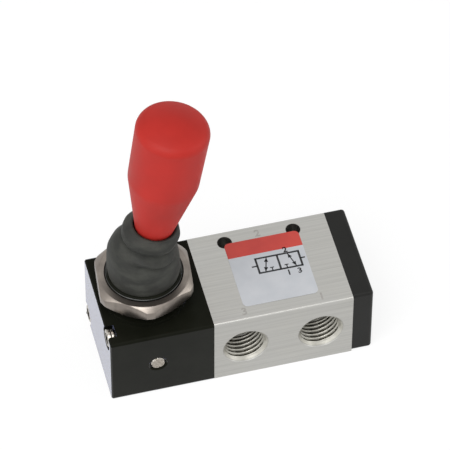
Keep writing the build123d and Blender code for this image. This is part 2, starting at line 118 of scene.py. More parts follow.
LABEL_X = (1.37 * MM, 23.87 * MM)
LABEL_Y = (-12.25 * MM, 11.8 * MM)
LABEL_CORNER = 1.5 * MM
LABEL_THICK = 0.08 * MM
BAND_Y = 6.05 * MM
INK_THICK = 0.012 * MM
SYMBOL_X = (9.0 * MM, 21.9 * MM)
SYMBOL_Y = (-1.25 * MM, 4.2 * MM)
SYMBOL_THICK = 0.6 * MM
SYMBOL_THIN = 0.34 * MM
ARROW_HEAD = 1.5 * MM
ARROW_SPREAD = 0.42
STUB_HEIGHT = 1.3 * MM
STUB_BAR = 0.6 * MM
STUB_LEFT = 1.7 * MM
STUB_RIGHT = 1.4 * MM
STUB_WIDTH = 0.8 * SYMBOL_THICK
DIGIT_SIZE = 1.9 * MM
DIGIT_ABOVE = 1.25 * MM
DIGIT_BELOW = 1.8 * MM
NUMERAL_SCALE = 1.4
NUMERAL_WEIGHT = 0.045
STAMP_SIZE = 2.5 * MM
STAMP_BELOW = 0.03 * MM
STAMP_ABOVE = 0.006 * MM

# Where the open and the shut path end in each square, as shares of its width
FLOW_SHARES = ((0.3, 0.62), (0.72, 0.3))

# Numbers of the ports and their places on the top face
STAMPS = (
    ("3", (1.1 * MM, -13.9 * MM)),
    ("1", (24.2 * MM, -13.95 * MM)),
    ("2", (12.0 * MM, 13.5 * MM)),
)

# Boot

LEAN = math.radians(8.3)
STEM_OFFSET = 2.78 * MM
BOOT_WALL = 1.2 * MM
BOOT_FOLD_TILT = math.radians(9.0)
BOOT_RISES = (0.0, 1.2, 4.0, 7.0, 9.0, 10.6, 11.9, 12.9, 14.0, 15.5, 17.0, 18.0, 18.7)
BOOT_RADII = (10.3, 10.5, 10.65, 10.6, 10.25, 9.6, 8.85, 8.2, 7.85, 8.3, 8.3, 7.85, 7.1)
LIP_RISE = 19.1 * MM
LIP_BORE = 6.0 * MM
LIP_ROUNDING = 0.4 * MM
WAVE_HEIGHT = 0.28 * MM
WAVE_TURN = 2.2
WAVE_RISE = 4.5 * MM
WAVE_START = 3 * MM
FOLD_MIDDLE = math.radians(-82)
FOLD_SPREAD = math.radians(64)

# Rise, spread and height in mm of the boot's crease, and of its fold's ridge and groove
CREASE = (13.7, 0.5, 0.95)
FOLD_RIDGE = (12.1, 0.8, 1.25)
FOLD_GROOVE = (10.3, 0.75, 1.25)

# Nut

NUT_FLATS = 27.0 * MM
NUT_CORNER_RADIUS = 15.0 * MM
NUT_FACE_RADIUS = 13.4 * MM
NUT_CORNER = math.radians(24.4)
NUT_SLOPE = math.tan(math.radians(38.0))
NUT_EDGE = 0.08 * MM
NUT_BORE_GAP = 0.02 * MM
NUT_BORE_BEVEL = 0.4 * MM

# Housing screws. Their places are pairs of Y and Z

SCREW_HEAD_RADIUS = 2.7 * MM
SCREW_HEAD_HEIGHT = 1.05 * MM
SCREW_HEAD_ROUNDING = 0.5 * MM
SCREW_SPRING_WASHER = 0.28 * MM
SCREW_WASHER = 0.65 * MM
SCREW_SOCKET = 1.7 * MM
SCREW_SOCKET_DEPTH = 1.3 * MM
SCREW_SOCKET_MIDDLE = 0.05
SCREW_GAP = 0.7 * MM
SCREW_EDGE = 0.08 * MM
SCREW_SUNK = 0.02 * MM
SCREW_SHANK = 1.75 * MM
SCREW_REACH = 6.4 * MM
SCREW_TIP_BEVEL = 0.4 * MM
COUNTERBORE_DEPTH = 2.6 * MM
UPPER_SCREW = (-11.55 * MM, 22.65 * MM)
LOWER_SCREW = (13.8 * MM, 3.1 * MM)

# Return spring and its drive

SPRING_WIRE_RADIUS = 0.35 * MM
SPRING_COILS = 3

# Pivot pin

PIN_RADIUS = 2.38 * MM
PIN_BEVEL = 0.5 * MM
PIN_GROOVES = 4
PIN_GROOVE_LENGTH = 2.2 * MM
PIN_GROOVE_TURN = math.radians(14)
PIN_GROOVE_WIDTH = 0.1

# Light and floor. Each lamp has a name, a place, a side and a power

LAMP_AIM = (0, 0, 0.03)
LAMPS = (
    ("key_box", (-0.25, -0.35, 0.75), 0.6, 4.4),
    ("fill_box", (-0.7, -0.3, 0.35), 0.5, 1.25),
    ("side_box", (0.75, -0.25, 0.4), 0.5, 1.7),
)
SOFT_LIGHT = 0.36
FLOOR_HALF = 3.0
FLOOR_GREY = 0.82
FLOOR_GLOW = 0.82
SHADOW_GREY = 0.22


def srgb(code):
    """Linear colour of a hex code."""
    values = [int(code[i:i + 2], 16) / 255 for i in (0, 2, 4)]
    linear = [v / 12.92 if v <= 0.04045 else ((v + 0.055) / 1.055) ** 2.4 for v in values]
    return (*linear, 1.0)


def grey(level):
    """Colour of one level in all three channels."""
    return (level, level, level, 1)


# Shader helpers

def add_node(tree, kind, inputs=None, **settings):
    """New node with its settings and the values of its sockets."""
    made = tree.nodes.new(kind)
    for name, value in settings.items():
        setattr(made, name, value)
    for name, value in (inputs or {}).items():
        fill_socket(tree, made.inputs[name], value)
    return made


def fill_socket(tree, socket, value):
    """Links a socket to another one, or sets its value."""
    if isinstance(value, bpy.types.NodeSocket):
        tree.links.new(value, socket)
    else:
        socket.default_value = value


def new_material(name, **values):
    """Material with a Principled shader whose sockets are set by value."""
    material = bpy.data.materials.new(name)
    material.use_nodes = True
    shader = material.node_tree.nodes["Principled BSDF"]
    for key, value in values.items():
        shader.inputs[key.replace("_", " ")].default_value = value
    return material, material.node_tree, shader


def noise_value(tree, vector, scale, detail=3.0, rough=0.5):
    """Grey noise from a vector."""
    made = add_node(tree, "ShaderNodeTexNoise", {
        "Vector": vector, "Scale": scale, "Detail": detail, "Roughness": rough,
    })
    return made.outputs["Fac"]


def object_noise(tree, scale, detail=3.0, rough=0.5):
    """Grey noise over the object, with one scale or a scale per axis."""
    place = add_node(tree, "ShaderNodeTexCoord")
    scales = scale if isinstance(scale, tuple) else (scale, scale, scale)
    mapping = add_node(tree, "ShaderNodeMapping", {"Vector": place.outputs["Object"], "Scale": scales})
    return noise_value(tree, mapping.outputs["Vector"], 1.0, detail, rough)


def remap(tree, value, low, high, to_low, to_high):
    """Value moved from one range to another, clamped."""
    made = add_node(tree, "ShaderNodeMapRange", {
        "Value": value, "From Min": low, "From Max": high, "To Min": to_low, "To Max": to_high,
    })
    return made.outputs["Result"]


def blend_colours(tree, factor, first, second):
    """Mix of two colours by a factor."""
    made = add_node(tree, "ShaderNodeMix", data_type="RGBA")
    for name, value in (("Factor_Float", factor), ("A_Color", first), ("B_Color", second)):
        fill_socket(tree, next(s for s in made.inputs if s.identifier == name), value)
    return next(s for s in made.outputs if s.identifier == "Result_Color")


def math_value(tree, operation, first, second=0.0):
    """Result of one arithmetic step."""
    made = add_node(tree, "ShaderNodeMath", operation=operation)
    for socket, value in zip(made.inputs, (first, second)):
        fill_socket(tree, socket, value)
    return made.outputs[0]


def weighted_sum(tree, first, first_weight, second, second_weight):
    """Sum of two values, each times its weight."""
    return math_value(tree, "ADD", math_value(tree, "MULTIPLY", first, first_weight),
                      math_value(tree, "MULTIPLY", second, second_weight))


def two_shades(tree, value, low, high, dark, light):
    """Colour from one code to another as a value goes from low to high."""
    return blend_colours(tree, remap(tree, value, low, high, 0, 1), srgb(dark), srgb(light))


def set_colour(tree, shader, colour):
    """Base colour of a shader."""
    tree.links.new(colour, shader.inputs["Base Color"])


def set_roughness(tree, shader, value, low, high, first, last):
    """Roughness from first to last as a value goes from low to high."""
    tree.links.new(remap(tree, value, low, high, first, last), shader.inputs["Roughness"])


def set_bump(tree, shader, height, strength, distance):
    """Bump on a shader from a height value."""
    bump = add_node(tree, "ShaderNodeBump", {
        "Height": height, "Strength": strength, "Distance": distance,
    })
    tree.links.new(bump.outputs["Normal"], shader.inputs["Normal"])


# Finishes

def brushed_aluminium():
    """Bar stock, drawn and brushed along X, with long fine streaks."""
    material, tree, shader = new_material("brushed_aluminium", Metallic=1.0)
    fine = object_noise(tree, (45, 6500, 6500), 3.0, 0.6)
    broad = object_noise(tree, (9, 1500, 1500), 3.0, 0.55)
    cloudy = object_noise(tree, (90, 160, 160), 2.0)
    streaks = weighted_sum(tree, fine, 0.55, broad, 0.45)
    colour = two_shades(tree, streaks, 0.3, 0.7, "A5A4A0", "BFBEB9")
    clouds = remap(tree, cloudy, 0.35, 0.7, 0, 0.25)
    set_colour(tree, shader, blend_colours(tree, clouds, colour, srgb("B0B0AE")))
    set_roughness(tree, shader, streaks, 0.3, 0.7, 0.42, 0.3)
    set_bump(tree, shader, streaks, 0.25, 0.02 * MM)
    return material


def thread_aluminium():
    """Freshly cut threads of the ports, a little brighter than the bar."""
    material, tree, shader = new_material("thread_aluminium", Metallic=1.0)
    tooled = object_noise(tree, 400, 2.0)
    set_colour(tree, shader, two_shades(tree, tooled, 0.35, 0.65, "B0AEA5", "BFBDB5"))
    set_roughness(tree, shader, tooled, 0.3, 0.7, 0.36, 0.42)
    return material


def black_anodised():
    """Black anodised finish with faint tooling, glossier the more it is seen along its surface."""
    material, tree, shader = new_material(
        "black_anodised", IOR=1.1, Coat_Roughness=0.12, Coat_IOR=1.9,
        Sheen_Weight=1.0, Sheen_Roughness=0.16, Sheen_Tint=srgb("C4CCFF"),
    )
    facing = add_node(tree, "ShaderNodeLayerWeight", {"Blend": 0.5})
    gloss = remap(tree, facing.outputs["Facing"], 0.35, 0.8, 0, 1)
    tree.links.new(gloss, shader.inputs["Coat Weight"])
    grain = object_noise(tree, (220, 3000, 3000))
    cloudy = object_noise(tree, 120)
    set_colour(tree, shader, two_shades(tree, cloudy, 0.3, 0.7, "14150F", "1A1B15"))
    set_roughness(tree, shader, grain, 0.3, 0.7, 0.3, 0.42)
    set_bump(tree, shader, grain, 0.12, 0.02 * MM)
    return material


def neck_black():
    """Glossy black of the threaded neck."""
    material, tree, shader = new_material("neck_black", IOR=1.55)
    cloudy = object_noise(tree, 160)
    set_colour(tree, shader, two_shades(tree, cloudy, 0.3, 0.7, "10110E", "191A16"))
    set_roughness(tree, shader, cloudy, 0.3, 0.7, 0.16, 0.24)
    return material


def black_plastic():
    """Moulded end cap, a little more matte than the housing."""
    material, tree, shader = new_material("black_plastic", IOR=1.3)
    grain = object_noise(tree, 2600)
    cloudy = object_noise(tree, 140)
    set_colour(tree, shader, two_shades(tree, cloudy, 0.3, 0.7, "121210", "1A1A18"))
    set_roughness(tree, shader, cloudy, 0.3, 0.7, 0.42, 0.55)
    set_bump(tree, shader, grain, 0.2, 0.03 * MM)
    return material


def dull_nickel():
    """Warm grey plated nut with turning marks round the neck."""
    material, tree, shader = new_material("dull_nickel", Metallic=1.0)
    place = add_node(tree, "ShaderNodeTexCoord")
    shifted = add_node(tree, "ShaderNodeVectorMath", {
        0: place.outputs["Object"], 1: (neck_x, 0, 0),
    }, operation="SUBTRACT")
    parts = add_node(tree, "ShaderNodeSeparateXYZ", {"Vector": shifted.outputs[0]})
    flat = add_node(tree, "ShaderNodeCombineXYZ", {"X": parts.outputs["X"], "Y": parts.outputs["Y"]})
    away = add_node(tree, "ShaderNodeVectorMath", {0: flat.outputs[0]}, operation="LENGTH")
    rings = add_node(tree, "ShaderNodeCombineXYZ", {"X": away.outputs["Value"]})
    turned = noise_value(tree, rings.outputs[0], 4200.0, 2.0)
    mottle = object_noise(tree, 260, 4.0)
    both = weighted_sum(tree, turned, 0.4, mottle, 0.6)
    set_colour(tree, shader, two_shades(tree, both, 0.35, 0.65, "77706A", "928A82"))
    set_roughness(tree, shader, both, 0.35, 0.65, 0.36, 0.3)
    set_bump(tree, shader, turned, 0.15, 0.02 * MM)
    return material


def matte_rubber():
    """Matte black rubber with dusty, rubbed places."""
    material, tree, shader = new_material("matte_rubber", IOR=1.45)
    grain = object_noise(tree, 3500, 2.0)
    dust = object_noise(tree, (130, 130, 300), 4.0, 0.55)
    set_colour(tree, shader, two_shades(tree, dust, 0.42, 0.66, "1E1F1B", "3B3C37"))
    set_roughness(tree, shader, dust, 0.3, 0.7, 0.6, 0.78)
    set_bump(tree, shader, grain, 0.25, 0.04 * MM)
    return material


def red_grip():
    """Matte moulded red with a soft grain."""
    material, tree, shader = new_material(
        "red_grip", IOR=1.3, Sheen_Weight=0.07, Sheen_Roughness=0.1, Sheen_Tint=srgb("F0C4E8"),
    )
    grain = object_noise(tree, 1900)
    cloudy = object_noise(tree, 70)
    set_colour(tree, shader, two_shades(tree, cloudy, 0.35, 0.7, "AC2720", "BB2E27"))
    set_roughness(tree, shader, cloudy, 0.3, 0.7, 0.46, 0.58)
    set_bump(tree, shader, grain, 0.18, 0.04 * MM)
    return material


def label_film(name, dark, light):
    """Printed film, faintly mottled."""
    material, tree, shader = new_material(name, IOR=1.45)
    cloudy = object_noise(tree, 160, 2.0)
    set_colour(tree, shader, two_shades(tree, cloudy, 0.3, 0.7, dark, light))
    set_roughness(tree, shader, cloudy, 0.3, 0.7, 0.3, 0.4)
    return material


def plain_finish(name, dark, light, rough, metal=1.0, grain_scale=1500, rough_spread=0.1):
    """Plain finish: two shades in a fine grain."""
    material, tree, shader = new_material(name, Metallic=metal)
    grain = object_noise(tree, grain_scale)
    set_colour(tree, shader, two_shades(tree, grain, 0.35, 0.65, dark, light))
    set_roughness(tree, shader, grain, 0.3, 0.7, rough, rough + rough_spread)
    return material


def bright_steel(name, dark, light, rough):
    """Plated or ground steel."""
    return plain_finish(name, dark, light, rough, grain_scale=1800, rough_spread=0.12)


ALUMINIUM = brushed_aluminium()
THREAD_METAL = thread_aluminium()
# Dark material in the thread grooves: painted shade
THREAD_GROOVE_SHADE = plain_finish("painted_groove_shade", "3C3A33", "47453D", 0.5, grain_scale=400)
HOUSING_BLACK = black_anodised()
NECK_BLACK = neck_black()
CAP_BLACK = black_plastic()
NICKEL = dull_nickel()
PIN_STEEL = bright_steel("pin_steel", "8F887E", "B3ACA2", 0.3)
SCREW_STEEL = bright_steel("screw_steel", "9C978F", "C4BFB7", 0.18)
HUB_STEEL = bright_steel("hub_steel", "77777A", "8E8E90", 0.35)
RUBBER = matte_rubber()
GRIP_RED = red_grip()
LABEL_WHITE = label_film("label_white", "BEC2C7", "C8CBCF")
LABEL_RED = label_film("label_red", "BE3F38", "C9483F")
INK = label_film("ink", "17181A", "202124")
STAMP = plain_finish("stamped_mark", "9A9894", "ABA9A5", 0.5)
# Dark material in the screw sockets and the gaps by the washers: painted shade
PAINTED_RECESS_SHADE = plain_finish("painted_recess_shade", "1C1B19", "2A2926", 0.4)
BRASS = plain_finish("turned_brass", "A98B4A", "C6A866", 0.3)
NITRILE = plain_finish("nitrile", "161616", "202020", 0.5, metal=0.0)
NYLON = plain_finish("nylon", "D2CFC4", "E0DDD2", 0.5, metal=0.0)
SPRING_WIRE = plain_finish("spring_wire", "7C7C7E", "98989A", 0.3)
SPOOL_METAL = plain_finish("spool_metal", "8E8F8D", "A5A6A4", 0.25)

NODE_FINISHES = {
    ALUMINIUM: ("valve_body",),
    HOUSING_BLACK: ("lever_housing",),
    CAP_BLACK: ("end_cap",),
    NICKEL: ("panel_nut",),
    SCREW_STEEL: ("housing_screws", "end_cap_screws"),
    PIN_STEEL: ("pivot_pin", "stem_pin", "cam_follower"),
    HUB_STEEL: ("cam_hub", "lever_stem", "spring_cup"),
    RUBBER: ("rubber_boot",),
    GRIP_RED: ("grip",),
    BRASS: ("guide_bush", "exhaust_cage", "outlet_cage", "supply_cage", "spring_spacer", "hub_bush",
            "grip_insert"),
    NITRILE: ("wiper_seal", "bore_seal_1", "bore_seal_2", "bore_seal_3", "bore_seal_4",
              "housing_face_seal", "cap_face_seal"),
    NYLON: ("thrust_washers",),
    SPRING_WIRE: ("return_spring",),
    SPOOL_METAL: ("spool",),
}


def paint(piece, material):
    """Gives a piece one material."""
    piece.data.materials.clear()
    piece.data.materials.append(material)


def paint_nodes():
    """Gives every solid its finish."""
    for material, names in NODE_FINISHES.items():
        for name in names:
            paint(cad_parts[name], material)


# Mesh helpers

def mesh_piece(name, points, faces, material, body, smooth=True):
    """Object from points and faces, riding on a body."""
    mesh = bpy.data.meshes.new(name)
    mesh.from_pydata([tuple(p) for p in points], [], faces)
    mesh.validate()
    mesh.update()
    for polygon in mesh.polygons:
        polygon.use_smooth = smooth
    piece = bpy.data.objects.new(name, mesh)
    bpy.context.scene.collection.objects.link(piece)
    paint(piece, material)
    if body:
        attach(piece, body)
    return piece


def paint_faces(piece, material, chosen):
    """Gives some faces of a piece a second material."""
    piece.data.materials.append(material)
    for index in chosen:
        piece.data.polygons[index].material_index = 1


def sharpen(piece, degrees):
    """Smooth shading that breaks at edges sharper than an angle."""
    limit = math.radians(degrees)
    mesh = piece.data
    angles = {}
    for polygon in mesh.polygons:
        for key in polygon.edge_keys:
            angles.setdefault(key, []).append(polygon.normal.copy())
    for edge in mesh.edges:
        normals = angles.get(tuple(sorted(edge.vertices)), [])
        edge.use_edge_sharp = len(normals) != 2 or normals[0].angle(normals[1], 0) > limit


def full_turn(steps):
    """Angles of equal steps round a circle."""
    return [2 * math.pi * step / steps for step in range(steps)]


def ring_grid(rings, closed=True):
    """Points and faces of a tube of rings.

    Closed joins the last ring to the first, else the two ends are capped.
    """
    rows, steps = len(rings), len(rings[0])
    faces = []
    for row in range(rows if closed else rows - 1):
        first = row * steps
        after = (row + 1) % rows * steps
        for step in range(steps):
            other = (step + 1) % steps
            faces.append((first + step, first + other, after + other, after + step))
    if not closed:
        faces.append(tuple(reversed(range(steps))))
        faces.append(tuple(range((rows - 1) * steps, rows * steps)))
    return [point for ring in rings for point in ring], faces


def eased(value):
    """Smooth step from 0 to 1."""
    value = max(0.0, min(1.0, value))
    return value * value * (3 - 2 * value)


def smooth_between(xs, ys, x):
    """Value on a smooth curve through given points, without overshoot at the turning points."""
    if x <= xs[0]:
        return ys[0]
    if x >= xs[-1]:
        return ys[-1]
    span = max(index for index in range(len(xs) - 1) if xs[index] <= x)
    slopes = [(ys[i + 1] - ys[i]) / (xs[i + 1] - xs[i]) for i in range(len(xs) - 1)]

    def tangent(index):
        if index in (0, len(xs) - 1):
            return slopes[min(index, len(slopes) - 1)]
        before, after = slopes[index - 1], slopes[index]
        return 0.0 if before * after <= 0 else 2 * before * after / (before + after)

    width = xs[span + 1] - xs[span]
    t = (x - xs[span]) / width
    first, last = tangent(span) * width, tangent(span + 1) * width
    low, high = ys[span], ys[span + 1]
    return (
        (2 * t ** 3 - 3 * t ** 2 + 1) * low + (t ** 3 - 2 * t ** 2 + t) * first
        + (3 * t ** 2 - 2 * t ** 3) * high + (t ** 3 - t ** 2) * last
    )


# Threads of the ports

def ridge_height(phase):
    """Height of a thread ridge with a rounded crest and root, 0 to 1, over one pitch."""
    phase %= 1.0
    return eased(RIDGE_LEVEL - RIDGE_SLOPE * min(phase, 1 - phase))


def internal_thread(name, origin, inward, side):
    """Ridges of a pipe thread lining a port, behind a smooth bevel at its mouth, with painted shade in its
    grooves.
    """
    steps = 144
    rows_per_pitch = 14
    start = THREAD_START
    length = PORT_DEPTH - start - THREAD_END_GAP
    rows = int(length / THREAD_PITCH * rows_per_pitch)
    wall = PORT_RADIUS - THREAD_SKIN
    root = wall - THREAD_ROOT
    crest = root - THREAD_DEPTH

    def radius_at(depth, turn):
        cone = max(crest, PORT_MOUTH_RADIUS - depth)
        fade = min(1.0, (start + length - depth) / THREAD_FADE)
        ridged = root - THREAD_DEPTH * fade * ridge_height(depth / THREAD_PITCH - turn)
        share = eased((depth - MOUTH_BEVEL) / MOUTH_STEP)
        return cone + (ridged - cone) * share

    def ring(depth, radius_of_turn):
        out = []
        for step, angle in enumerate(full_turn(steps)):
            radius = radius_of_turn(step / steps)
            out.append(origin + Vector((
                radius * math.cos(angle), inward * depth, side * radius * math.sin(angle),
            )))
        return out

    depths = [start + length * row / rows for row in range(rows + 1)]
    rings = [ring(depth, lambda turn, d=depth: radius_at(d, turn)) for depth in depths]
    rings += [ring(depth, lambda turn: wall) for depth in (start + length, start)]
    points, faces = ring_grid(rings)
    piece = mesh_piece(name, points, faces, THREAD_METAL, "valve")
    # Faces near the root of the thread get painted shade
    grooves = []
    for row in range(rows):
        for step in range(steps):
            phase = depths[row] / THREAD_PITCH - step / steps
            if depths[row] > MOUTH_BEVEL and ridge_height(phase) < GROOVE_SHADE_SHARE:
                grooves.append(row * steps + step)
    paint_faces(piece, THREAD_GROOVE_SHADE, grooves)


def port_threads():
    """The threads of the three ports."""
    for name, shift in (("port_3_thread", -PORT_PITCH), ("port_1_thread", PORT_PITCH)):
        internal_thread(name, Vector((body_middle_x + shift, front_y, port_z)), 1, 1)
    internal_thread("port_2_thread", Vector((body_middle_x, back_y, port_z)), -1, -1)


# Boot

def boot_place(rise):
    """Middle and tilt of the boot's ring at a height above the neck."""
    share = rise / LIP_RISE
    lip_height = neck_top_z + LIP_RISE - port_z
    lever_x = lip_height * math.tan(LEAN) - STEM_OFFSET / math.cos(LEAN)
    tilt = LEAN * share + BOOT_FOLD_TILT * math.sin(math.pi * share)
    return Vector((neck_x + lever_x * share ** 3, 0, neck_top_z + rise)), tilt


def boot_radius(rise):
    """Outer radius of the boot at a height above the neck."""
    return smooth_between(BOOT_RISES, BOOT_RADII, rise / MM) * MM


def swell(rise, form):
    """Height in mm of a rounded form of the boot at a height above the neck."""
    middle, spread, height = form
    return height * math.exp(-((rise / MM - middle) / spread) ** 2)


def boot_fold(rise, angle):
    """Crease all round, and a small fold on the side where the boot is pressed together."""
    away = abs((angle - FOLD_MIDDLE + math.pi) % (2 * math.pi) - math.pi)
    side = eased(1 - away / FOLD_SPREAD)
    return (side * (swell(rise, FOLD_RIDGE) - swell(rise, FOLD_GROOVE)) - swell(rise, CREASE)) * MM


def boot_ring(rise, radius, wavy):
    """Ring of points of the boot."""
    middle, tilt = boot_place(rise)
    ring = []
    for angle in full_turn(96):
        reach = radius
        if wavy:
            wave = Vector((WAVE_TURN * math.cos(angle), WAVE_TURN * math.sin(angle), rise / WAVE_RISE))
            reach += boot_fold(rise, angle)
            reach += WAVE_HEIGHT * noise.noise(wave) * eased(rise / WAVE_START)
        across, along = reach * math.cos(angle), reach * math.sin(angle)
        ring.append(middle + Vector((across * math.cos(tilt), along, -across * math.sin(tilt))))
    return ring


def rubber_boot():
    """Boot with a dome, a small fold and a bulge that hugs the grip, bent over to the lever's lean."""
    outer_rows, lip_rows, inner_rows = 84, 8, 12
    top = BOOT_RISES[-1] * MM
    rings = []
    for row in range(outer_rows + 1):
        rise = top * row / outer_rows
        rings.append(boot_ring(rise, boot_radius(rise), True))
    edge = (BOOT_RADII[-1] * MM - LIP_BORE) / 2
    for row in range(1, lip_rows):
        turn = math.pi * row / lip_rows
        rise = top + LIP_ROUNDING * math.sin(turn)
        rings.append(boot_ring(rise, LIP_BORE + edge + edge * math.cos(turn), False))
    for row in range(inner_rows, -1, -1):
        rise = top * row / inner_rows
        rings.append(boot_ring(rise, boot_radius(rise) - BOOT_WALL, False))
    points, faces = ring_grid(rings)
    piece = mesh_piece("boot", points, faces, RUBBER, None)
    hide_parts("rubber_boot")
    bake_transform(piece)


# Nut, neck thread, screws, pin and spring

def neck_point(radius, angle, z):
    """Point round the axis of the neck."""
    return Vector((neck_x + radius * math.cos(angle), radius * math.sin(angle), z))


def hexagon_reach(angle, flats, corner, corner_radius):
    """Distance from the middle of a hexagon to its edge in a direction, its corners turned down."""
    sector = math.radians(60)
    from_flat = (angle - corner) % sector - sector / 2
    return min(flats / 2 / math.cos(from_flat), corner_radius)


def panel_nut():
    """Hexagon nut with turned chamfers, softened edges and a bevelled bore."""
    bore = NECK_THREAD_RADIUS + NUT_BORE_GAP
    bevel = NUT_BORE_BEVEL

    def ring(radius_at, height_at):
        out = []
        for angle in full_turn(360):
            radius = radius_at(angle)
            out.append(neck_point(radius, angle, height_at(radius)))
        return out

    def side(angle):
        return hexagon_reach(angle, NUT_FLATS, NUT_CORNER, NUT_CORNER_RADIUS)

    def cone_drop(radius):
        return max(0.0, radius - NUT_FACE_RADIUS) * NUT_SLOPE

    rings = [ring(lambda a: bore, lambda r: nut_base_z + bevel)]
    for sign, face_z in ((-1, nut_base_z), (1, nut_top_z)):
        shapes = [
            (lambda a: bore + bevel, 0.0),
            (lambda a: bore + bevel + NUT_EDGE, 0.0),
            (lambda a: NUT_FACE_RADIUS - 2 * NUT_EDGE, 0.0),
            (lambda a: NUT_FACE_RADIUS - NUT_EDGE, 0.0),
            (lambda a: max(NUT_FACE_RADIUS - 0.5 * NUT_EDGE, side(a) - NUT_EDGE), 0.05 * NUT_EDGE),
            (lambda a: max(NUT_FACE_RADIUS, side(a) - 0.3 * NUT_EDGE), 0.35 * NUT_EDGE),
            (side, NUT_EDGE),
        ]
        if sign > 0:
            shapes.reverse()
        for radius_at, inset in shapes:
            rings.append(ring(
                radius_at, lambda r, f=face_z, s=sign, i=inset: f - s * (cone_drop(r) + i),
            ))
    rings.append(ring(lambda a: bore, lambda r: nut_top_z - bevel))
    points, faces = ring_grid(rings)
    piece = mesh_piece("hex_nut", points, faces, NICKEL, "valve")
    sharpen(piece, 24)
    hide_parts("panel_nut")


def neck_thread(name, z_low, z_high, height):
    """Ridges of the neck's thread between two heights."""
    steps = 96
    rows_per_pitch = 8
    rows = max(4, int((z_high - z_low) / NECK_THREAD_PITCH * rows_per_pitch))
    rings = []
    for row in range(rows + 1):
        z = z_low + (z_high - z_low) * row / rows
        fade = eased(min(row, rows - row) / 2)
        ring = []
        for step, angle in enumerate(full_turn(steps)):
            ridge = height * fade * ridge_height(z / NECK_THREAD_PITCH - step / steps)
            ring.append(neck_point(NECK_THREAD_RADIUS + NECK_THREAD_SKIN + ridge, angle, z))
        rings.append(ring)
    for z in (z_high, z_low):
        radius = NECK_THREAD_RADIUS - NECK_THREAD_SUNK
        rings.append([neck_point(radius, angle, z) for angle in full_turn(steps)])
    points, faces = ring_grid(rings)
    mesh_piece(name, points, faces, NECK_BLACK, "valve")


def neck_threads():
    """The thread from the collar to the nut, and what shows of it above the nut."""
    low_end = nut_base_z + NECK_LOW_OVERLAP
    neck_thread("neck_thread_low", housing_low.z + NECK_LOW_START, low_end, NECK_LOW_HEIGHT)
    top_start = nut_top_z - NECK_TOP_OVERLAP
    neck_thread("neck_thread_top", top_start, nut_top_z + NECK_TOP_RISE, NECK_TOP_HEIGHT)


def housing_screw(name, place):
    """Socket screw with a rounded head, a spring washer and a plain one, its head at the lever end; its
    socket and the gaps by its washers carry painted shade.
    """
    steps = 72
    bend_steps = 8
    seat = housing_low.x + COUNTERBORE_DEPTH
    top = housing_low.x + SCREW_SUNK
    head_back = top + SCREW_HEAD_HEIGHT
    washer = head_back + SCREW_SPRING_WASHER
    washer_back = washer + SCREW_WASHER
    tip = housing_high.x + SCREW_REACH
    socket_floor = top + SCREW_SOCKET_DEPTH
    head = SCREW_HEAD_RADIUS
    inner = head - SCREW_GAP
    edge = SCREW_EDGE
    rings = []
    shaded_rows = []

    def ring(x, radius_at, dark=False):
        """Adds a ring. The faces from it to the next ring carry painted shade or stay bright."""
        if dark:
            shaded_rows.append(len(rings))
        rings.append([
            Vector((
                x,
                place[0] + radius_at(angle) * math.cos(angle),
                place[1] + radius_at(angle) * math.sin(angle),
            ))
            for angle in full_turn(steps)
        ])

    def hexagon(angle):
        return hexagon_reach(angle, 2 * SCREW_SOCKET, 0.0, 2 * SCREW_SOCKET)

    ring(socket_floor, lambda a: hexagon(a) * SCREW_SOCKET_MIDDLE, dark=True)
    ring(socket_floor, hexagon, dark=True)
    ring(top + edge, hexagon)
    ring(top, lambda a: hexagon(a) + edge)
    for row in range(bend_steps + 1):
        turn = math.pi / 2 * row / bend_steps
        radius = head - SCREW_HEAD_ROUNDING * (1 - math.sin(turn))
        ring(top + SCREW_HEAD_ROUNDING * (1 - math.cos(turn)), lambda a, r=radius: r)
    # Depth, radius and whether the faces to the next ring carry painted shade
    for x, radius, dark in (
        (head_back - edge, head, False),
        (head_back, head - edge, True),
        (head_back, inner, True),
        (washer, inner, True),
        (washer, head - edge, False),
        (washer + edge, head, False),
        (washer_back - edge, head, False),
        (washer_back, head - edge, True),
        (washer_back, inner, True),
        (seat, inner, True),
        (seat, SCREW_SHANK, False),
        (tip - SCREW_TIP_BEVEL, SCREW_SHANK, False),
        (tip, SCREW_SHANK - SCREW_TIP_BEVEL, False),
    ):
        ring(x, lambda a, r=radius: r, dark)
    points, faces = ring_grid(rings, closed=False)
    piece = mesh_piece(name, points, faces, SCREW_STEEL, "valve")
    paint_faces(piece, PAINTED_RECESS_SHADE, [row * steps + step for row in shaded_rows for step in range(steps)])
    sharpen(piece, 40)
    return piece


def housing_screws():
    """Both housing screws."""
    for name, place in (("upper_screw", UPPER_SCREW), ("lower_screw", LOWER_SCREW)):
        piece = housing_screw(name, place)
        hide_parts("housing_screws")


